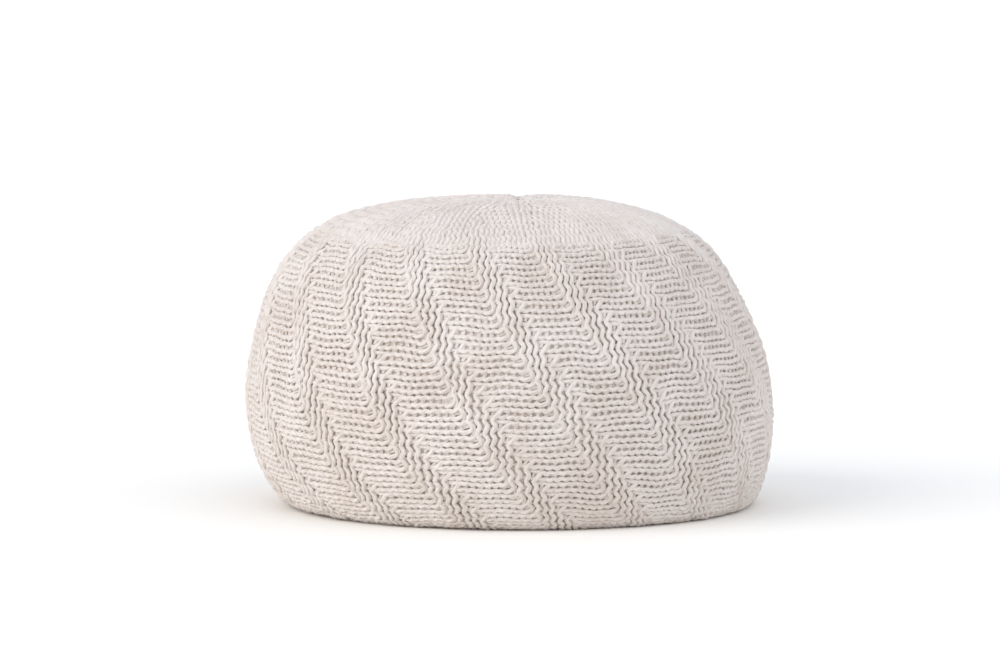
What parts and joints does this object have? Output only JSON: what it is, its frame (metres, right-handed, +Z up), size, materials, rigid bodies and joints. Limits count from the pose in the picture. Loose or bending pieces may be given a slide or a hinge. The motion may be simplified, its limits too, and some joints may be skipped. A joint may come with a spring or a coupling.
{
  "type": "knitted pouf",
  "caption": "Low round floor pouf: a filled body in a chunky ribbed knit cover, flat underneath, bulging at the sides and gathered to a small knot at the crown.",
  "frame": {"origin": "on the floor, under the middle of the body's outline seen from above", "axes": "+Z up out of the crown; -Y is the side towards the viewer in the picture; +X to the viewer's right"},
  "size_m": [0.5544, 0.552, 0.3215],
  "materials": {
    "knitted_cotton": "matt soft-twisted cotton cord in natural ivory, knitted chunky"
  },
  "bodies": {
    "root": {"knitted_body": "knitted_cotton"}
  },
  "joints": []
}
